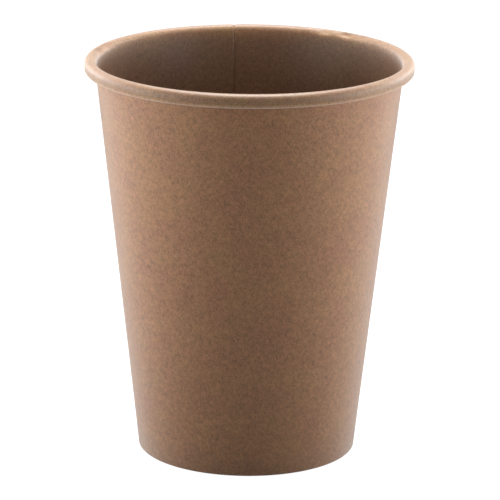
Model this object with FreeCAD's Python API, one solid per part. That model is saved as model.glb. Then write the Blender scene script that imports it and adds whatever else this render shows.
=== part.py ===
"""Single-wall paper coffee cup of brown kraft board, 12 oz size.

Two pieces of board make the cup. The side wall is one fan-shaped blank, wrapped into a cone and lapped on
itself at the back. Its top edge is rolled outwards into the rim, and its bottom edge is folded inwards and up
into a hem. The bottom is a disc whose edge is drawn down into a skirt, and the hem holds that skirt against
the wall.

Frame: +Z up along the cup's axis, origin on the axis in the plane that the foot stands on, +Y through the
middle of the side seam. Lengths are in millimetres, and angles are in radians unless a name says degrees.
"""
import FreeCAD, Part
import math
import os

# Overall size
HEIGHT = 110.0                # from the foot to the top of the rim
RIM_DIAMETER = 90.0           # over the rolled rim, the size that lids are made for
FOOT_DIAMETER = 60.0          # over the wall's outer face, carried down to the foot's plane

# Side wall and its lapped seam
WALL_BOARD = 0.38             # thickness of the board with its lining
LAP_DEGREES = 10.0            # the two plies overlap by this much, 7 mm at the mouth
STEP_DEGREES = 2.4            # past the inner ply's edge, the outer ply comes down within this much
STEP_SECTION_COUNT = 5        # sections along that step

# Rolled rim, an upright oval in section
ROLL_WIDTH = 3.26             # across the roll, at its first bend
ROLL_SIDE = 0.96              # upright outer side, which a lid grips
ROLL_FLAT_COUNT = 3           # small flats that make each quarter turn of the roll
TUCK_GAP = 0.05               # between the roll's end and the wall, at the seam
TUCK_CLEARANCE = 0.12         # from the roll's cut edge up to the level where its first bend starts

# Hem at the foot
HEM_CLEARANCE = 1.5           # between the hem's cut edge and the bottom disc above it
FOLD_RADIUS = 0.05            # inner radius of the fold's two corners
FOLD_FLAT_COUNT = 2           # small flats that make each of those corners

# Bottom disc
BOTTOM_BOARD = 0.34           # thickness of its board with its lining
BOTTOM_RECESS = 9.5           # from the foot to the disc's underside
BOTTOM_BEND_RADIUS = 0.7      # outer radius of the bend from disc to skirt
BOTTOM_BEND_FLAT_COUNT = 2    # small flats that make that bend
SKIRT_CLEARANCE = 0.3         # between the skirt's cut edge and the fold, at the seam
FILM = 0.02                   # melted lining on each side of the skirt

AXIS_POINT = FreeCAD.Vector(0, 0, 0)
AXIS = FreeCAD.Vector(0, 0, 1)
SEAM_DEGREES = 90.0           # direction of the seam's middle, from +X
FULL_TURN_DEGREES = 360.0

# The cone. Its outer face starts at the foot, and its inner face runs on into the roll's first bend.
ROLL_RADIUS = ROLL_WIDTH / 2
ROLL_X = RIM_DIAMETER / 2 - ROLL_RADIUS
ROLL_Z = HEIGHT - ROLL_RADIUS
FOOT_X = FOOT_DIAMETER / 2
FOOT_TO_ROLL = math.hypot(ROLL_X - FOOT_X, ROLL_Z)
TAPER = math.atan2(ROLL_X - FOOT_X, ROLL_Z) - math.asin((ROLL_RADIUS - WALL_BOARD) / FOOT_TO_ROLL)
ACROSS = math.cos(TAPER)
ALONG = math.sin(TAPER)

# The pocket between wall and hem takes the skirt, and the lap's two plies are the thickest wall.
POCKET = BOTTOM_BOARD + 2 * FILM
LAP_BOARD = 2 * WALL_BOARD

# The roll's last bend has the radius that brings its end up beside the lap.
LAST_RADIUS = ROLL_RADIUS - (LAP_BOARD + TUCK_GAP - ROLL_SIDE * ALONG) / (1 + ACROSS)
TUCK_LENGTH = ROLL_SIDE * ACROSS - (ROLL_RADIUS - LAST_RADIUS) * ALONG - TUCK_CLEARANCE


def inner_face_x(z):
    """Radius of the cone's inner face at height z."""
    return FOOT_X - WALL_BOARD / ACROSS + z * ALONG / ACROSS


class Pen:
    """Draws straights and bends in the XZ plane, at an offset to the right of the path that it is given."""

    def __init__(self, x, z, heading, offset):
        """The path starts at x and z. Its heading is measured clockwise from +Z."""
        self.heading = heading
        self.offset = offset
        self.x = x + offset * math.cos(heading)
        self.z = z - offset * math.sin(heading)
        self.first = self.point()
        self.edges = []

    def point(self):
        return FreeCAD.Vector(self.x, 0, self.z)

    def straight(self, length):
        begin = self.point()
        self.x += length * math.sin(self.heading)
        self.z += length * math.cos(self.heading)
        self.edges.append(Part.LineSegment(begin, self.point()).toShape())

    def bend(self, path_radius, turn, flats):
        """A positive turn is to the right. The corners between the flats lie on the bend's true arc."""
        radius = path_radius - math.copysign(self.offset, turn)
        half_flat = abs(turn) / flats / 2
        for _ in range(flats):
            self.heading += math.copysign(half_flat, turn)
            self.straight(2 * radius * math.sin(half_flat))
            self.heading += math.copysign(half_flat, turn)


def closed_strip(near, far):
    """Closed wire round the board between two pens that drew the same path at two offsets."""
    end_edge = Part.LineSegment(near.point(), far.point()).toShape()
    start_edge = Part.LineSegment(far.first, near.first).toShape()
    return Part.Wire(near.edges + [end_edge] + far.edges[::-1] + [start_edge])


def wall_section(inner, outer):
    """Section of the side wall, where board fills the space from inner to outer off the mandrel's face.

    The path is that face: down the hem, through the fold, up the cone, over the roll and up into it. The fold
    is lifted so that its lowest board stands on the foot's plane.
    """
    fold_radius = min(FOLD_RADIUS, POCKET / 3)
    fold_flat = (POCKET - 2 * fold_radius) / ACROSS
    fold_z = outer + fold_radius
    wall_start_z = fold_z - fold_radius * ALONG
    wall_start_x = inner_face_x(wall_start_z)
    hem_end_x = wall_start_x - 2 * fold_radius * ACROSS - fold_flat
    hem_end_z = fold_z + fold_radius * ALONG
    hem_top_z = BOTTOM_RECESS - HEM_CLEARANCE
    hem_length = (hem_top_z - hem_end_z) / ACROSS
    wall_length = (ROLL_Z + ROLL_RADIUS * ALONG - wall_start_z) / ACROSS

    pens = []
    for offset in (inner, outer):
        pen = Pen(hem_end_x + hem_length * ALONG, hem_top_z, math.pi + TAPER, offset)
        pen.straight(hem_length)
        pen.bend(fold_radius, -(math.pi / 2 + TAPER), FOLD_FLAT_COUNT)
        pen.straight(fold_flat)
        pen.bend(fold_radius, -(math.pi / 2 - TAPER), FOLD_FLAT_COUNT)
        pen.straight(wall_length)
        pen.bend(ROLL_RADIUS, math.pi / 2 - TAPER, ROLL_FLAT_COUNT)
        pen.bend(ROLL_RADIUS, math.pi / 2, ROLL_FLAT_COUNT)
        pen.straight(ROLL_SIDE)
        pen.bend(LAST_RADIUS, math.pi / 2, ROLL_FLAT_COUNT)
        pen.bend(LAST_RADIUS, math.pi / 2 + TAPER, ROLL_FLAT_COUNT)
        pen.straight(TUCK_LENGTH)
        pens.append(pen)
    return closed_strip(*pens)


def disc_section():
    """Section of the bottom disc. The path is its upper face, from the axis out and down the skirt."""
    bend_radius = max(BOTTOM_BEND_RADIUS, 1.2 * BOTTOM_BOARD)
    panel_z = BOTTOM_RECESS + BOTTOM_BOARD
    skirt_top_z = panel_z - bend_radius * (1 + ALONG)
    skirt_end_z = LAP_BOARD + SKIRT_CLEARANCE
    panel_length = inner_face_x(skirt_top_z) - FILM / ACROSS - bend_radius * ACROSS

    pens = []
    for offset in (0, BOTTOM_BOARD):
        pen = Pen(0, panel_z, math.pi / 2, offset)
        pen.straight(panel_length)
        pen.bend(bend_radius, math.pi / 2 + TAPER, BOTTOM_BEND_FLAT_COUNT)
        pen.straight((skirt_top_z - skirt_end_z) / ACROSS)
        pens.append(pen)
    return closed_strip(*pens)


def turned(shape, degrees):
    """Copy of a shape in the XZ plane, turned about the cup's axis to an angle from the seam's middle."""
    copy = shape.copy()
    copy.rotate(AXIS_POINT, AXIS, SEAM_DEGREES + degrees)
    return copy


def swept(section, start_degrees, end_degrees):
    """Solid that a section sweeps out about the cup's axis."""
    face = turned(Part.Face(section), start_degrees)
    return face.revolve(AXIS_POINT, AXIS, end_degrees - start_degrees)


def side_wall():
    """The wall blank: one ply all round, two in the lap, and the step where the outer ply comes down."""
    half_lap = LAP_DEGREES / 2
    one_ply = swept(wall_section(0, WALL_BOARD), half_lap + STEP_DEGREES, FULL_TURN_DEGREES - half_lap)
    two_plies = swept(wall_section(0, LAP_BOARD), -half_lap, half_lap)
    sections = []
    for i in range(STEP_SECTION_COUNT):
        share = i / (STEP_SECTION_COUNT - 1)
        lift = WALL_BOARD * (1 - share * share * (3 - 2 * share))
        section = wall_section(lift, lift + WALL_BOARD)
        sections.append(turned(section, half_lap + share * STEP_DEGREES))
    step = Part.makeLoft(sections, True, True)
    return one_ply.fuse([two_plies, step])


def bottom_disc():
    """The bottom: a flat panel, with a skirt that fills the pocket between the wall and the hem."""
    return swept(disc_section(), 0, FULL_TURN_DEGREES)


os.makedirs("parts", exist_ok=True)
for node, solid in {"side_wall": side_wall(), "bottom_disc": bottom_disc()}.items():
    solid.exportStep("parts/" + node + ".step")
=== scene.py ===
"""A brown kraft paper coffee cup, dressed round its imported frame.

Lengths are in metres, +Z is up along the cup's axis, and the wall's seam is at +Y.
"""
import math
import bmesh
import bpy
from mathutils import Matrix, Vector, noise


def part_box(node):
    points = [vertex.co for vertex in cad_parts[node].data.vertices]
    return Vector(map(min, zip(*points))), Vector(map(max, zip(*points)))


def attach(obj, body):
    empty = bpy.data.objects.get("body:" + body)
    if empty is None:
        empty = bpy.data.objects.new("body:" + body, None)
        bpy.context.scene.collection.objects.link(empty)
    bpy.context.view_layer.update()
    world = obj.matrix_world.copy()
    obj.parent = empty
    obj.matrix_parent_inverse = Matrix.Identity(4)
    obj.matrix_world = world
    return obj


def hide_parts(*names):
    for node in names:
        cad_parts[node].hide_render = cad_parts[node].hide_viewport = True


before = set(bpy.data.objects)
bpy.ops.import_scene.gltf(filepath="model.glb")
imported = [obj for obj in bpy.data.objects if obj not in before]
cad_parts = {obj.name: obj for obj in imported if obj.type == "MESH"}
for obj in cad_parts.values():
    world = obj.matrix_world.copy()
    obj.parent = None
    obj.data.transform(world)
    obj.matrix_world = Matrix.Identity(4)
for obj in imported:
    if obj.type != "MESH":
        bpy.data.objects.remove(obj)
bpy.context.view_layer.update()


# The side wall. It is one fan-shaped blank of brown kraft board with a thin sealing film on its inner face,
# wrapped round a cone and heat-sealed in a lap at the back. Its top edge is rolled outwards into the rim, and
# its bottom edge is folded inwards and pressed up round the bottom, which leaves a ring of fine ribs.
MM = 0.001
FOOT_RADIUS = 30.0 * MM           # of the wall's outer face, carried down to the table
BOARD = 0.38 * MM
LAP_ANGLE = math.radians(10)      # of the two plies at the back
STEP_ANGLE = math.radians(0.7)    # within which the outer ply comes down past the inner ply's edge
LAP_GAP = 0.01 * MM               # melted film between the plies
SEAM_DIRECTION = math.radians(90)
STRIP_COUNT = 740                 # strips round the blank, half a degree each

ROLL_RADIUS = 1.63 * MM
ROLL_SIDE = 0.96 * MM             # upright outer side of the roll
LAST_RADIUS = 1.277 * MM          # of the roll's last half turn
TUCK_LENGTH = 0.80 * MM           # the roll's end, close to the wall
MOUTH_BAND = 9.0 * MM             # top of the wall, which wanders a little off the cone
FOLD_RADIUS = 0.05 * MM
POCKET = 0.38 * MM                # between wall and hem, for the bottom's skirt
HEM_TOP = 8.0 * MM

RIB_COUNT = 72                    # pressed into the hem by the wheel that closes it
RIB_DEPTH = 0.07 * MM
ROLL_SLACK = 0.07 * MM            # how unevenly the roll closed
WALL_SLACK = 0.06 * MM            # how far the mouth's wall wanders off the cone
LONG_WAVE = 17 * MM               # widths of that unevenness
SHORT_WAVE = 4.2 * MM
SEAL_DEPTH = 0.12 * MM            # the sealing bar presses both cut edges thinner
SEAL_ANGLE = math.radians(1.2)
CREASE = math.radians(50)         # edges sharper than this stay crisp

# Small knocks at the roll's inner shoulder: place along the blank and half width in degrees, then depth
KNOCKS = (
    (36.0, 3.6, 0.38 * MM),
    (45.0, 3.2, 0.52 * MM),
    (52.0, 4.0, 0.25 * MM),
    (288.0, 3.6, 0.42 * MM),
    (297.0, 4.5, 0.26 * MM),
)

# Colours and finish of the board
RED_KRAFT = (0.405, 0.193, 0.097, 1)
YELLOW_KRAFT = (0.400, 0.205, 0.095, 1)
LINED_TINT_AND_PAINTED_SHADE = (0.44, 0.46, 0.48, 1)    # the film darkens the fibres, and the rest is painted shade for the cup's dim inside
ROLLED_TINT_AND_PAINTED_LIGHT = (1.40, 1.62, 1.70, 1)   # paler for the roll's stretched fibres, and painted light: the roll's highlight and the bounce under it
RAW_EDGE = (0.46, 0.29, 0.18, 1)
WHITE = (1, 1, 1, 1)
CUT_MARGIN = 0.04                     # share of the thickness that still counts as face
BARE_ROUGHNESS = 0.54
LINED_ROUGHNESS = 0.42
WEAR = 0.18                           # how far the roughness goes up and down with the mottle
BARE_GLOSS = 0.3
LINED_GLOSS = 0.6
FUZZ = 0.70                           # pale down of fibre ends, seen at a slant
FUZZ_ROUGHNESS = 0.5
ROLLED_FUZZ = 1.6                     # how soon that down comes through where the board is rolled

# The board's marks, from wide clouds down to fibres: how wide each is, and how far it lightens and darkens
CLOUD_SIZE = 13 * MM
CLOUD_TONE = 0.16
PATCH_SIZE = 4.5 * MM
PATCH_TONE = 0.16
MOTTLE_SIZE = 1.3 * MM
MOTTLE_TONE = 0.85
SPECKLE_SIZE = 0.42 * MM
SPECKLE_TONE = 1.15
FIBRE_SIZE = 0.20 * MM
FIBRE_TONE = 0.95
FIBRE_STRETCH = (1.0, 0.16, 1.0)      # fibres lie up the blank
STRAY_SIZE = 0.24 * MM
STRAY_TONE = 0.45
STRAY_STRETCH = (1.0, 0.12, 1.0)
STRAY_SLANT = 0.6                     # stray fibres cross the others at this angle
FLECK_SIZE = 0.60 * MM
FLECK_TONE = 0.14
RELIEF_DEPTH = 0.05 * MM
RELIEF_STRENGTH = 0.35


class Wire:
    """A socket that gives a value, so that sums between values are written as sums."""

    def __init__(self, bench, socket):
        self.bench = bench
        self.socket = socket

    def other(self, output):
        """Another output of the same node."""
        return Wire(self.bench, self.socket.node.outputs[output])

    def __add__(self, term):
        return self.bench.worked("ADD", self, term)

    def __radd__(self, term):
        return self.bench.worked("ADD", term, self)

    def __sub__(self, term):
        return self.bench.worked("SUBTRACT", self, term)

    def __rsub__(self, term):
        return self.bench.worked("SUBTRACT", term, self)

    def __mul__(self, term):
        return self.bench.worked("MULTIPLY", self, term)

    def __rmul__(self, term):
        return self.bench.worked("MULTIPLY", term, self)

    def __truediv__(self, term):
        return self.bench.worked("DIVIDE", self, term)

    def __gt__(self, term):
        return self.bench.worked("GREATER_THAN", self, term)

    def __lt__(self, term):
        return self.bench.worked("LESS_THAN", self, term)


class Bench:
    """A node tree on which nodes are set out and wired."""

    def __init__(self, tree):
        self.tree = tree
        self.tree.nodes.clear()

    def node(self, kind, settings=None, sockets=None, output=0):
        """Adds a node: its settings come first, then the values or wires of its sockets."""
        made = self.tree.nodes.new(kind)
        for name, value in (settings or {}).items():
            setattr(made, name, value)
        for name, value in (sockets or {}).items():
            socket = made.inputs[name]
            if isinstance(value, Wire):
                self.tree.links.new(value.socket, socket)
            elif socket.type == "VECTOR" and isinstance(value, (int, float)):
                socket.default_value = (value, value, value)
            else:
                socket.default_value = value
        return Wire(self, made.outputs[output]) if made.outputs else None

    def worked(self, operation, first, second=0.0):
        """The outcome of one sum, on vectors where a term is one."""
        wires = [term for term in (first, second) if isinstance(term, Wire)]
        on_vectors = any(wire.socket.type == "VECTOR" for wire in wires)
        kind = "ShaderNodeVectorMath" if on_vectors else "ShaderNodeMath"
        return self.node(kind, {"operation": operation}, {0: first, 1: second})

    def eased(self, value, low, high, first=0.0, last=1.0):
        """Goes from first to last as value goes from low to high, with a soft start and end."""
        ends = {"Value": value, "From Min": low, "From Max": high, "To Min": first, "To Max": last}
        return self.node("ShaderNodeMapRange", {"interpolation_type": "SMOOTHSTEP"}, ends)

    def grain(self, place, size, detail=2.0, roughness=0.5):
        """Noise from 0 to 1 whose patches are about size across."""
        sockets = {"Vector": place, "Scale": 1 / size, "Detail": detail, "Roughness": roughness}
        return self.node("ShaderNodeTexNoise", {"noise_dimensions": "3D"}, sockets)

    def spun(self, place, angle):
        """A place turned about the Z axis."""
        sockets = {"Vector": place, "Angle": angle}
        return self.node("ShaderNodeVectorRotate", {"rotation_type": "Z_AXIS"}, sockets)

    def blended(self, share, first, second, blend_type="MIX"):
        """A colour between two others, or their product."""
        settings = {"data_type": "RGBA", "blend_type": blend_type}
        return self.node("ShaderNodeMix", settings, {0: share, 6: first, 7: second}, output=2)


def kraft_board(name):
    """Kraft board: brown fibres, bare on one face, lined with film on the other, pale where it is cut.

    The attribute blank is the place on the flat blank. The attribute through goes from 0 on the lined face to
    1 on the bare one, and rolled_and_painted_light goes up to 1 where the board curls hardest. It pales the
    lined face over the roll and at the top inside the mouth: partly stretched fibres, partly painted light, a
    highlight along the roll, light bounced up under it and a lit band inside the mouth. The bottom doesn't
    curl, so its mesh has no such attribute, and the shader reads 0.
    """
    material = bpy.data.materials.new(name)
    material.use_nodes = True
    bench = Bench(material.node_tree)
    blank = bench.node("ShaderNodeAttribute", {"attribute_name": "blank"}, output="Vector")
    through = bench.node("ShaderNodeAttribute", {"attribute_name": "through"}, output="Fac")
    rolled_and_painted_light = bench.node("ShaderNodeAttribute", {"attribute_name": "rolled_and_painted_light"}, output="Fac")
    cut = (through > CUT_MARGIN) * (through < 1 - CUT_MARGIN)
    bare = through > 0.5

    # Each kind of mark starts from another place, so that none repeats another
    cloud = bench.grain(blank, CLOUD_SIZE, detail=1.0)
    patch = bench.grain(blank + 0.31, PATCH_SIZE, detail=2.0)
    mottle = bench.grain(blank, MOTTLE_SIZE, detail=3.0, roughness=0.6)
    speckle = bench.grain(blank + 0.17, SPECKLE_SIZE, detail=2.0, roughness=0.65)
    fibre = bench.grain(blank * FIBRE_STRETCH, FIBRE_SIZE, detail=2.0)
    stray = bench.grain(bench.spun(blank, STRAY_SLANT) * STRAY_STRETCH, STRAY_SIZE, detail=1.0)
    fleck = bench.eased(bench.grain(blank + 0.53, FLECK_SIZE, detail=1.0), low=0.62, high=0.72)

    # Clouds and patches turn the board's brown towards red or yellow, and every mark lightens or darkens it
    hue = bench.eased(patch * 0.5 + cloud * 0.5, low=0.36, high=0.64)
    tone = 1 + (cloud - 0.5) * CLOUD_TONE + (patch - 0.5) * PATCH_TONE + (mottle - 0.5) * MOTTLE_TONE
    tone = tone + (speckle - 0.5) * SPECKLE_TONE + (fibre - 0.5) * FIBRE_TONE + (stray - 0.5) * STRAY_TONE
    tone = tone + fleck * FLECK_TONE
    colour = bench.blended(hue, RED_KRAFT, YELLOW_KRAFT)
    # Over the roll and at the top inside the mouth the lined face turns paler and greyer: partly stretched
    # fibres, partly painted light, a highlight along the roll, light bounced up under it and a lit band
    # inside the mouth
    # The lined face is darker for its film and, beyond that, by painted shade for the cup's dim inside
    lined = bench.blended(rolled_and_painted_light, LINED_TINT_AND_PAINTED_SHADE, ROLLED_TINT_AND_PAINTED_LIGHT)
    colour = bench.blended(1.0, colour, bench.blended(bare, lined, WHITE), "MULTIPLY")
    colour = bench.blended(cut, colour, RAW_EDGE)
    colour = bench.blended(1.0, colour, tone, "MULTIPLY")

    relief = mottle * 0.5 + speckle * 0.35 + fibre * 0.3
    felt = {"Strength": RELIEF_STRENGTH, "Distance": RELIEF_DEPTH, "Height": relief}
    shared = {"Base Color": colour, "Normal": bench.node("ShaderNodeBump", {}, felt)}
    worn = (mottle - 0.5) * WEAR
    lined_look = {"Roughness": worn + LINED_ROUGHNESS, "Specular IOR Level": LINED_GLOSS}
    bare_look = {"Roughness": worn + BARE_ROUGHNESS, "Specular IOR Level": BARE_GLOSS}
    down = {"Sheen Weight": FUZZ, "Sheen Roughness": FUZZ_ROUGHNESS}
    lined_board = bench.node("ShaderNodeBsdfPrincipled", {}, {**shared, **lined_look})
    bare_board = bench.node("ShaderNodeBsdfPrincipled", {}, {**shared, **bare_look, **down})
    fuzzy = bench.node("ShaderNodeClamp", {}, {0: bare + rolled_and_painted_light * ROLLED_FUZZ})
    board = bench.node("ShaderNodeMixShader", {}, {0: fuzzy, 1: lined_board, 2: bare_board})
    bench.node("ShaderNodeOutputMaterial", {}, {"Surface": board})
    return material


class BoardLine:
    """Draws the line that a board's lined face follows, as stations with the side on which the board lies."""

    def __init__(self, x, z, heading):
        """The heading is measured clockwise from +Z, and the board lies to the right of the line."""
        self.x = x
        self.z = z
        self.heading = heading
        self.length = 0.0
        self.stations = []

    def station(self, stretch, share):
        """Marks a point of the line, at its share of the way along a stretch."""
        self.stations.append({
            "place": (self.x, 0.0, self.z),
            "side": (math.cos(self.heading), 0.0, -math.sin(self.heading)),
            "length": self.length,
            "stretch": stretch,
            "share": share,
        })

    def straight(self, stretch, length, steps):
        """Goes straight on, with a station at the end of each step."""
        for i in range(steps):
            self.x += length / steps * math.sin(self.heading)
            self.z += length / steps * math.cos(self.heading)
            self.length += length / steps
            self.station(stretch, (i + 1) / steps)

    def bend(self, stretch, radius, turn, steps):
        """Goes round a bend in the same way. A positive turn is to the right."""
        half_step = turn / steps / 2
        chord = 2 * radius * math.sin(abs(half_step))
        for i in range(steps):
            self.heading += half_step
            self.x += chord * math.sin(self.heading)
            self.z += chord * math.cos(self.heading)
            self.heading += half_step
            self.length += radius * abs(turn) / steps
            self.station(stretch, (i + 1) / steps)


# The cone. Its inner face runs on into the roll's first bend, which has its place from the frame.
wall_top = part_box("side_wall")[1]
roll_x = wall_top.x - ROLL_RADIUS
roll_z = wall_top.z - ROLL_RADIUS
taper = math.atan2(roll_x - FOOT_RADIUS, roll_z)
taper -= math.asin((ROLL_RADIUS - BOARD) / math.hypot(roll_x - FOOT_RADIUS, roll_z))
across = math.cos(taper)
along = math.sin(taper)


def inner_face_x(z):
    """Radius of the cone's inner face at height z."""
    return FOOT_RADIUS - BOARD / across + z * along / across


def wall_line():
    """From the hem's cut edge down, through the fold, up the cone, over the roll and in under it."""
    fold_flat = (POCKET - 2 * FOLD_RADIUS) / across
    fold_z = BOARD + FOLD_RADIUS
    wall_start_z = fold_z - FOLD_RADIUS * along
    wall_start_x = inner_face_x(wall_start_z)
    hem_end_x = wall_start_x - 2 * FOLD_RADIUS * across - fold_flat
    hem_length = (HEM_TOP - fold_z - FOLD_RADIUS * along) / across
    wall_length = (roll_z + ROLL_RADIUS * along - wall_start_z) / across
    quarter = math.pi / 2

    line = BoardLine(hem_end_x + hem_length * along, HEM_TOP, math.pi + taper)
    line.station("hem", 0.0)
    line.straight("hem", hem_length, steps=4)
    line.bend("fold", FOLD_RADIUS, -(quarter + taper), steps=3)
    line.straight("fold", fold_flat, steps=1)
    line.bend("fold", FOLD_RADIUS, -(quarter - taper), steps=3)
    line.straight("wall", wall_length - MOUTH_BAND, steps=11)
    line.straight("mouth", MOUTH_BAND, steps=11)
    line.bend("shoulder", ROLL_RADIUS, quarter - taper, steps=8)
    line.bend("crown", ROLL_RADIUS, quarter, steps=7)
    line.straight("side", ROLL_SIDE, steps=2)
    line.bend("roll", LAST_RADIUS, quarter, steps=5)
    line.bend("roll", LAST_RADIUS, quarter + taper, steps=5)
    line.straight("roll", TUCK_LENGTH, steps=1)
    return line


def shares_at(stretch, share):
    """How much a station takes of each local change, by its stretch and its share of the way along it.

    The changes are the hem's ribs, the lap's lift off the table, the roll's slack, the knocks, the wall's
    wandering, and how much paler the lined face turns over the roll and at the top inside the mouth: partly
    stretched fibres, partly painted light.
    """
    changes = {
        "ribbed": {"hem": min(1.0, 4 * min(share, 1 - share))},
        "lifted": {"hem": share, "fold": 1.0, "wall": 1 - share},
        "slack": {
            "mouth": 0.35 * share,
            "shoulder": 0.35 + 0.65 * share,
            "crown": 1.0,
            "side": 1.0,
            "roll": 1.0,
        },
        "knocked": {"shoulder": 4 * share * (1 - share)},
        "wandering": {"mouth": share, "shoulder": 1 - share},
        # Paler lined face, partly stretched fibres and partly painted light: a lit band at the top inside the
        # mouth, a highlight along the shoulder, crown and side, and light bounced up under the roll's last
        # turn
        "rolled_and_painted_light": {
            "mouth": 0.6 * share ** 6,
            "shoulder": 0.6 - 0.4 * share,
            "crown": 0.2 + 0.15 * share ** 2,
            "side": 0.35 + 0.1 * share,
            "roll": min(1.0, 0.45 + 2 * share),
        },
    }
    return {name: stretches.get(stretch, 0.0) for name, stretches in changes.items()}


def line_mesh(name, line):
    """The stations as points of a mesh, with what each one carries as attributes."""
    mesh = bpy.data.meshes.new(name)
    mesh.from_pydata([station["place"] for station in line.stations], [], [])
    mesh.attributes.new("side", "FLOAT_VECTOR", "POINT")
    for share_name in ("length", *shares_at("hem", 0.0)):
        mesh.attributes.new(share_name, "FLOAT", "POINT")
    for i, station in enumerate(line.stations):
        mesh.attributes["side"].data[i].vector = station["side"]
        mesh.attributes["length"].data[i].value = station["length"]
        for share_name, share in shares_at(station["stretch"], station["share"]).items():
            mesh.attributes[share_name].data[i].value = share
    return mesh


def wrapped_blank(paper, sizes):
    """Tree that wraps a blank round the cone along the stations of the line that it is given.

    Each of the named sizes is an input of the tree.
    """
    tree = bpy.data.node_groups.new("wrapped_blank", "GeometryNodeTree")
    bench = Bench(tree)
    tree.interface.new_socket(name="Line", in_out="INPUT", socket_type="NodeSocketGeometry")
    for name, size in sizes.items():
        kind = "NodeSocketInt" if isinstance(size, int) else "NodeSocketFloat"
        tree.interface.new_socket(name=name, in_out="INPUT", socket_type=kind)
    tree.interface.new_socket(name="Wall", in_out="OUTPUT", socket_type="NodeSocketGeometry")

    given = bench.node("NodeGroupInput")
    line = given.other("Line")
    board = given.other("Board")
    lap = given.other("Lap")
    step = given.other("Step")
    seal = given.other("Seal")
    seal_depth = given.other("Seal depth")

    # A box of strips, with one row of points for each station on each face of the board
    row_count = bench.node("GeometryNodeAttributeDomainSize", {"component": "MESH"}, {"Geometry": line})
    points = {"Vertices X": given.other("Strips") + 1, "Vertices Y": row_count, "Vertices Z": 2}
    box = bench.node("GeometryNodeMeshCube", {}, {"Size": 1.0, **points})
    shares = bench.node("ShaderNodeSeparateXYZ", {}, {0: bench.node("GeometryNodeInputPosition") + 0.5})
    way_round = shares.other("X")
    row = shares.other("Y") * (row_count - 1)
    through = shares.other("Z")
    station = bench.node("FunctionNodeFloatToInt", {"rounding_mode": "ROUND"}, {0: row})

    def at_station(value, kind):
        sockets = {"Geometry": line, "Value": value, "Index": station}
        return bench.node("GeometryNodeSampleIndex", {"data_type": kind, "domain": "POINT"}, sockets)

    def drawn(name, kind="FLOAT"):
        attribute = bench.node("GeometryNodeInputNamedAttribute", {"data_type": kind}, {"Name": name})
        return at_station(attribute, kind)

    # Where each strip comes to lie, and how far the lap lifts it off the cone and off the table
    full_turn = 2 * math.pi
    angle = way_round * (full_turn + lap)
    heading = given.other("Seam direction") + lap / 2 - angle
    ply = board + given.other("Lap gap")
    lap_lift = bench.eased(angle, full_turn - step, full_turn, 0.0, ply)
    fold_lift = lap_lift + bench.eased(angle, lap, lap + step, ply, 0.0)

    # Small unevenness, the same for both plies of the lap
    base = at_station(bench.node("GeometryNodeInputPosition"), "FLOAT_VECTOR")
    standing = bench.spun(base, heading)
    long_wave = bench.grain(standing, LONG_WAVE, detail=1.0)
    short_wave = bench.grain(standing + 0.2, SHORT_WAVE, detail=1.0)
    push = given.other("Roll slack") * drawn("slack") * (long_wave * 0.6 + short_wave * 0.4)
    push = push + given.other("Wall slack") * drawn("wandering") * (long_wave - 0.5) * 2
    for place, half_width, depth in KNOCKS:
        away = (angle - math.radians(place)) / math.radians(half_width)
        push = push + bench.worked("EXPONENT", 0 - away * away) * drawn("knocked") * depth

    # Pressed cut edges and the hem's ribs
    outer_end = full_turn + lap
    inner_seal = bench.eased(angle, 0.0, seal, seal_depth, 0.0) * (1 - through)
    outer_seal = bench.eased(angle, outer_end - seal, outer_end, 0.0, seal_depth) * through
    wave = bench.worked("COSINE", heading * given.other("Ribs")) * 0.5 + 0.5
    push = push + inner_seal - outer_seal - given.other("Rib depth") * drawn("ribbed") * through * wave

    side = drawn("side", "FLOAT_VECTOR")
    up_cone = bench.node("ShaderNodeCombineXYZ", {}, {"X": math.tan(taper), "Z": 1.0})
    placed = base + side * (lap_lift + through * board + push) + up_cone * (fold_lift * drawn("lifted"))
    placed = bench.spun(placed, heading)

    # The same place on the flat blank, for the board's grain
    fan = (angle - math.pi) * bench.worked("SINE", given.other("Taper"))
    reach = given.other("Apex distance") + drawn("length")
    flat_x = reach * bench.worked("SINE", fan)
    flat_y = reach * bench.worked("COSINE", fan)
    blank = bench.node("ShaderNodeCombineXYZ", {}, {"X": flat_x, "Y": flat_y, "Z": through * board})

    shaped = box
    for name, kind, value in (
        ("blank", "FLOAT_VECTOR", blank),
        ("through", "FLOAT", through),
        # paler stretched fibres and painted light over the roll and at the top inside the mouth
        ("rolled_and_painted_light", "FLOAT", drawn("rolled_and_painted_light")),
    ):
        settings = {"data_type": kind, "domain": "POINT"}
        sockets = {"Geometry": shaped, "Name": name, "Value": value}
        shaped = bench.node("GeometryNodeStoreNamedAttribute", settings, sockets)
    shaped = bench.node("GeometryNodeSetPosition", {}, {"Geometry": shaped, "Position": placed})
    shaped = bench.node("GeometryNodeFlipFaces", {}, {"Mesh": shaped})
    shaped = bench.node("GeometryNodeSetShadeSmooth", {}, {"Geometry": shaped, "Shade Smooth": True})
    shaped = bench.node("GeometryNodeRealizeInstances", {}, {"Geometry": shaped})
    shaped = bench.node("GeometryNodeSetMaterial", {}, {"Geometry": shaped, "Material": paper})
    bench.node("NodeGroupOutput", {}, {"Wall": shaped})
    return tree


def made_plain(piece):
    """Puts what the piece's modifiers make into its own mesh."""
    graph = bpy.context.evaluated_depsgraph_get()
    evaluated = piece.evaluated_get(graph)
    plain_mesh = bpy.data.meshes.new_from_object(evaluated, preserve_all_data_layers=True, depsgraph=graph)
    former_mesh = piece.data
    piece.modifiers.clear()
    piece.data = plain_mesh
    bpy.data.meshes.remove(former_mesh)


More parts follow.
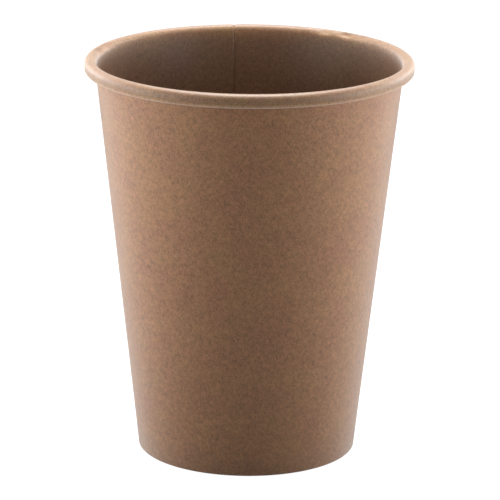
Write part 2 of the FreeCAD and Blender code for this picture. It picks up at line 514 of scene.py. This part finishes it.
line = wall_line()
fold_end = [station for station in line.stations if station["stretch"] == "fold"][-1]
wrap_sizes = {
    "Strips": STRIP_COUNT,
    "Board": BOARD,
    "Lap": LAP_ANGLE,
    "Lap gap": LAP_GAP,
    "Step": STEP_ANGLE,
    "Seal": SEAL_ANGLE,
    "Seal depth": SEAL_DEPTH,
    "Seam direction": SEAM_DIRECTION,
    "Taper": taper,
    "Apex distance": inner_face_x(BOARD) / along - fold_end["length"],    # up to where the line starts
    "Ribs": RIB_COUNT,
    "Rib depth": RIB_DEPTH,
    "Roll slack": ROLL_SLACK,
    "Wall slack": WALL_SLACK,
}
wall = bpy.data.objects.new("rolled_side_wall", line_mesh("rolled_side_wall", line))
bpy.context.scene.collection.objects.link(wall)
wrap = wall.modifiers.new("wrap", "NODES")
wrap.node_group = wrapped_blank(kraft_board("wall_board"), wrap_sizes)
for item in wrap.node_group.interface.items_tree:
    if item.name in wrap_sizes:
        wrap[item.identifier] = wrap_sizes[item.name]
made_plain(wall)
wall.data.set_sharp_from_angle(angle=CREASE)
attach(wall, "root")
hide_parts("side_wall")


# The bottom. It is a disc of the same kraft board with its film on top. A punch draws its edge down into a
# skirt, and the wall's hem is pressed against that skirt. The panel stays a little uneven from the drawing.
BOTTOM_BOARD = 0.34 * MM
BOTTOM_RECESS = 9.5 * MM          # from the table to the disc's underside
BOTTOM_BEND_RADIUS = 0.7 * MM
SKIRT_END = 1.06 * MM             # height of the skirt's cut edge
FILM = 0.02 * MM                  # melted between the skirt and the wall
PANEL_SWAY = 0.10 * MM
SWAY_SIZE = 15 * MM
DISC_SIDE_COUNT = 180


def bottom_line():
    """The upper face, from the axis outwards and down the skirt."""
    panel_z = BOTTOM_RECESS + BOTTOM_BOARD
    skirt_top_z = panel_z - BOTTOM_BEND_RADIUS * (1 + along)
    panel_length = inner_face_x(skirt_top_z) - FILM / across - BOTTOM_BEND_RADIUS * across
    line = BoardLine(0.0, panel_z, math.pi / 2)
    line.station("panel", 0.0)
    line.straight("panel", panel_length, steps=14)
    line.bend("bend", BOTTOM_BEND_RADIUS, math.pi / 2 + taper, steps=7)
    line.straight("skirt", (skirt_top_z - SKIRT_END) / across, steps=3)
    return line


def bottom_mesh(name, line):
    """Rings of points out over the lined face and back under the bare one, closed at the axis."""
    form = bmesh.new()
    blank_layer = form.verts.layers.float_vector.new("blank")
    through_layer = form.verts.layers.float.new("through")

    def point(station, through, turn):
        x = station["place"][0] + station["side"][0] * BOTTOM_BOARD * through
        z = station["place"][2] + station["side"][2] * BOTTOM_BOARD * through
        spot = Vector((x * math.cos(turn), x * math.sin(turn), 0))
        loose = 1 - station["share"] ** 2 if station["stretch"] == "panel" else 0.0
        sway = noise.noise(spot / SWAY_SIZE) * PANEL_SWAY * loose
        vert = form.verts.new((spot.x, spot.y, z + sway))
        flat_x = station["length"] * math.cos(turn)
        flat_y = station["length"] * math.sin(turn)
        vert[blank_layer] = Vector((flat_x, flat_y, through * BOTTOM_BOARD))
        vert[through_layer] = through
        return vert

    centre, *stations = line.stations
    turns = [2 * math.pi * i / DISC_SIDE_COUNT for i in range(DISC_SIDE_COUNT)]
    order = [(station, 0.0) for station in stations] + [(station, 1.0) for station in stations[::-1]]
    rings = [[point(station, through, turn) for turn in turns] for station, through in order]
    poles = [point(centre, through, 0.0) for through in (0.0, 1.0)]
    for i in range(DISC_SIDE_COUNT):
        j = (i + 1) % DISC_SIDE_COUNT
        form.faces.new((poles[0], rings[0][i], rings[0][j]))
        form.faces.new((poles[1], rings[-1][j], rings[-1][i]))
        for near, far in zip(rings, rings[1:]):
            form.faces.new((near[i], far[i], far[j], near[j]))
    for face in form.faces:
        face.smooth = True
    mesh = bpy.data.meshes.new(name)
    form.to_mesh(mesh)
    form.free()
    return mesh


bottom = bpy.data.objects.new("drawn_bottom_disc", bottom_mesh("drawn_bottom_disc", bottom_line()))
bpy.context.scene.collection.objects.link(bottom)
bottom.data.materials.append(kraft_board("bottom_board"))
bottom.data.set_sharp_from_angle(angle=CREASE)
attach(bottom, "root")
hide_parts("bottom_disc")


# The table and the air round it. Both are plain white. The camera and the gloss of the board see them as full
# white, and the board's matt side gets a little light from the table. The table keeps the cup's faint shadow.
TABLE_SIDE = 6.0
TABLE_SHADE = (0.08, 0.08, 0.08, 1)   # what the board's matt side gets
TABLE_GLOW = 1.12
SHADOW_SHARE = 0.16                   # of the table's white that a shadow can take away
AIR_LEVEL = 0.0                       # the air gives the matt side nothing
AIR_SEEN_LEVEL = 1.0


def seen_directly(bench):
    """1 for rays of the camera and of gloss or glass, 0 for others."""
    rays = bench.node("ShaderNodeLightPath", {}, {}, output="Is Camera Ray")
    return (rays + rays.other("Is Glossy Ray") + rays.other("Is Transmission Ray")) > 0.5


half_side = TABLE_SIDE / 2
table_corners = [
    (-half_side, -half_side, 0),
    (half_side, -half_side, 0),
    (half_side, half_side, 0),
    (-half_side, half_side, 0),
]
table_mesh = bpy.data.meshes.new("table")
table_mesh.from_pydata(table_corners, [], [(0, 1, 2, 3)])
table = bpy.data.objects.new("table", table_mesh)
bpy.context.scene.collection.objects.link(table)
table_white = bpy.data.materials.new("table_white")
table_white.use_nodes = True
table_white.cycles.emission_sampling = "NONE"
bench = Bench(table_white.node_tree)
matt = bench.node("ShaderNodeBsdfDiffuse", {}, {"Color": TABLE_SHADE})
pale = bench.node("ShaderNodeBsdfDiffuse", {}, {"Color": WHITE})
glow = bench.node("ShaderNodeEmission", {}, {"Color": WHITE, "Strength": TABLE_GLOW})
shown = bench.node("ShaderNodeMixShader", {}, {0: SHADOW_SHARE, 1: glow, 2: pale})
mixed = bench.node("ShaderNodeMixShader", {}, {0: seen_directly(bench), 1: matt, 2: shown})
bench.node("ShaderNodeOutputMaterial", {}, {"Surface": mixed})
table_mesh.materials.append(table_white)

air = bpy.data.worlds.new("air")
air.use_nodes = True
bpy.context.scene.world = air
bench = Bench(air.node_tree)
dim = bench.node("ShaderNodeBackground", {}, {"Color": WHITE, "Strength": AIR_LEVEL})
full = bench.node("ShaderNodeBackground", {}, {"Color": WHITE, "Strength": AIR_SEEN_LEVEL})
mixed = bench.node("ShaderNodeMixShader", {}, {0: seen_directly(bench), 1: dim, 2: full})
bench.node("ShaderNodeOutputWorld", {}, {"Surface": mixed})
air.cycles.sampling_method = "NONE"


# The lamps. Four pairs of small soft boxes stand close round the cup, from its front sides to its back sides,
# and leave the wall darkest in its middle. Two large ones hang high, one behind the cup and one over it.
LAMPS = (
    # name, azimuth and height angle in degrees, distance, width, height, level
    ("left_front_box", -60, 15, 0.20, 0.12, 0.10, 0.28),
    ("right_front_box", 60, 15, 0.20, 0.12, 0.10, 0.27),
    ("left_box", -80, 15, 0.20, 0.12, 0.10, 0.29),
    ("right_box", 80, 15, 0.20, 0.12, 0.10, 0.27),
    ("left_side_box", -110, 9, 0.30, 0.20, 0.12, 0.27),
    ("right_side_box", 110, 9, 0.30, 0.20, 0.12, 0.23),
    ("left_back_box", -125, 20, 0.36, 0.22, 0.20, 0.46),
    ("right_back_box", 125, 20, 0.36, 0.22, 0.20, 0.43),
    ("back_box", 180, 65, 0.90, 0.60, 0.40, 1.20),
    ("top_box", 180, 85, 0.90, 0.50, 0.40, 0.85),
)
AIM = Vector((0, 0, 0.055))       # the middle of the cup


def direction(azimuth, elevation):
    """Unit vector towards a lamp or the camera. Azimuth 0 is in front of the cup, and 90 to its right."""
    flat = math.cos(elevation)
    return Vector((math.sin(azimuth) * flat, -math.cos(azimuth) * flat, math.sin(elevation)))


for name, azimuth, elevation, distance, width, height, level in LAMPS:
    lamp = bpy.data.lights.new(name, "AREA")
    lamp.shape = "RECTANGLE"
    lamp.size = width
    lamp.size_y = height
    # The level is the light that reaches the cup, whatever the lamp's size and distance
    lamp.energy = level * math.pi ** 2 * distance ** 2
    lamp_object = bpy.data.objects.new(name, lamp)
    away = direction(math.radians(azimuth), math.radians(elevation))
    lamp_object.location = AIM + away * distance
    lamp_object.rotation_euler = away.to_track_quat("Z", "Y").to_euler()
    lamp_object.visible_camera = False
    bpy.context.scene.collection.objects.link(lamp_object)


# The camera. It looks down on the mouth with a long lens, and the picture is turned by half a degree.
CAMERA_AZIMUTH = math.radians(-0.75)
CAMERA_PITCH = math.radians(15.85)
CAMERA_ROLL = math.radians(0.53)
CAMERA_DISTANCE = 0.9598
LENS = 250.0                      # lens and sensor are in millimetres
SENSOR_WIDTH = 36.0
SHIFT_X = 0.0043
SHIFT_Y = 0.0042

camera = bpy.data.cameras.new("camera")
camera.lens = LENS
camera.sensor_width = SENSOR_WIDTH
camera.shift_x = SHIFT_X
camera.shift_y = SHIFT_Y
camera_object = bpy.data.objects.new("camera", camera)
bpy.context.scene.collection.objects.link(camera_object)
stand = Matrix.Translation(AIM + direction(CAMERA_AZIMUTH, CAMERA_PITCH) * CAMERA_DISTANCE)
turn = Matrix.Rotation(CAMERA_AZIMUTH, 4, "Z") @ Matrix.Rotation(math.pi / 2 - CAMERA_PITCH, 4, "X")
camera_object.matrix_world = stand @ turn @ Matrix.Rotation(CAMERA_ROLL, 4, "Z")
bpy.context.scene.camera = camera_object
bpy.context.scene.view_settings.view_transform = "Standard"
